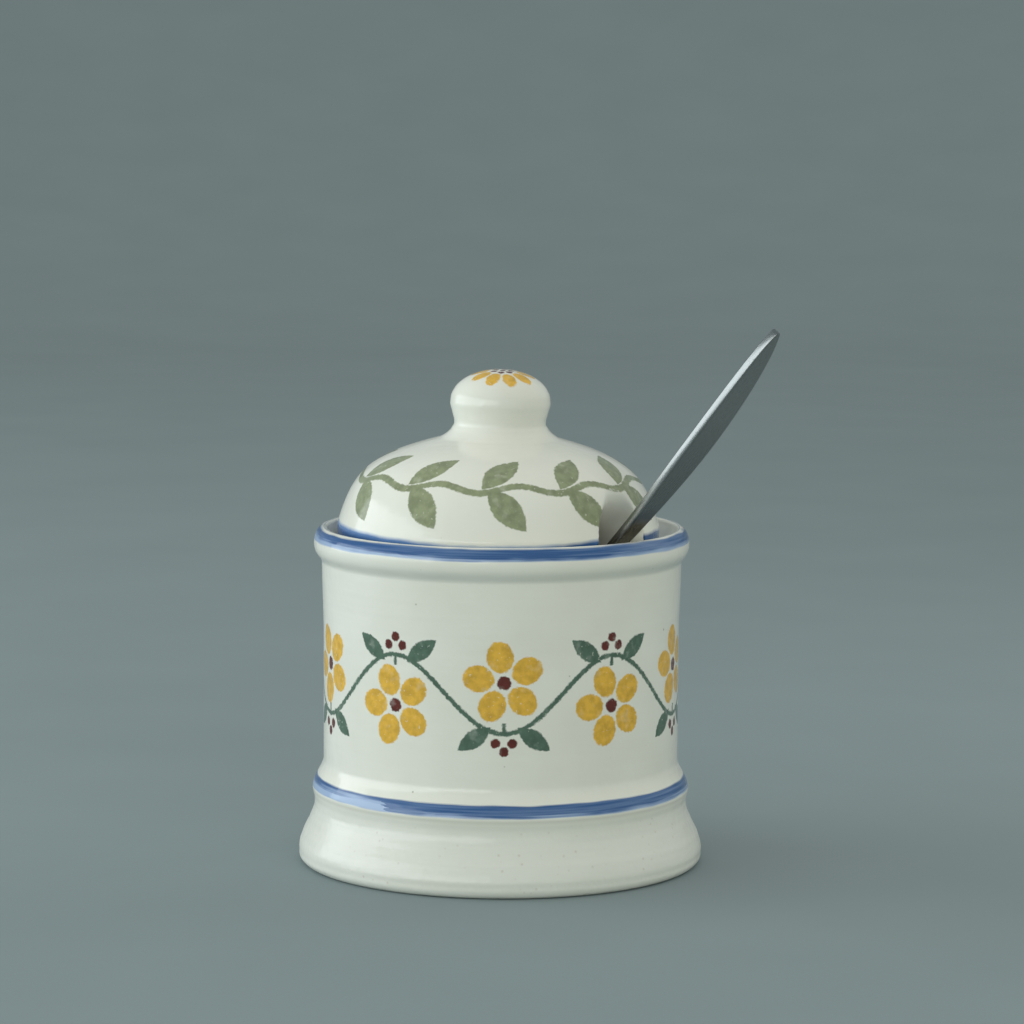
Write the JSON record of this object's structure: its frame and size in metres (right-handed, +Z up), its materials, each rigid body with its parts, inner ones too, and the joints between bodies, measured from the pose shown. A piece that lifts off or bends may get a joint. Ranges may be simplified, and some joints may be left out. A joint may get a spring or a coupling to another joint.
{
  "type": "jam pot",
  "caption": "Straight-sided glazed earthenware jam pot with a spreading foot, a drop-in domed lid with a knob, and a steel spoon leaning out of the lid's notch.",
  "frame": {"origin": "centre of the foot, on the plane that the foot ring rests on", "axes": "+Z up, +X along the spoon, out through the notch in the lid, +Y to the left when looking along +X"},
  "size_m": [0.1214, 0.09, 0.1225],
  "materials": {
    "pot_glaze": "cream glossy glaze with painted blue bands and a painted flower border",
    "lid_glaze": "cream glossy glaze with a painted blue edge and painted leaves",
    "spoon_steel": "polished stainless steel with fine wear scratches"
  },
  "bodies": {
    "pot": {"pot": "pot_glaze"},
    "lid": {"lid": "lid_glaze"},
    "spoon": {"spoon": "spoon_steel"}
  },
  "joints": [
    {"name": "lid_lift", "type": "slide", "parent": "pot", "child": "lid", "axis": [0, 0, 1], "range_m": [0, 0.07]},
    {"name": "spoon_draw", "type": "slide", "parent": "pot", "child": "spoon", "axis": [0.7318, 0, 0.6815], "range_m": [0, 0.03]}
  ]
}
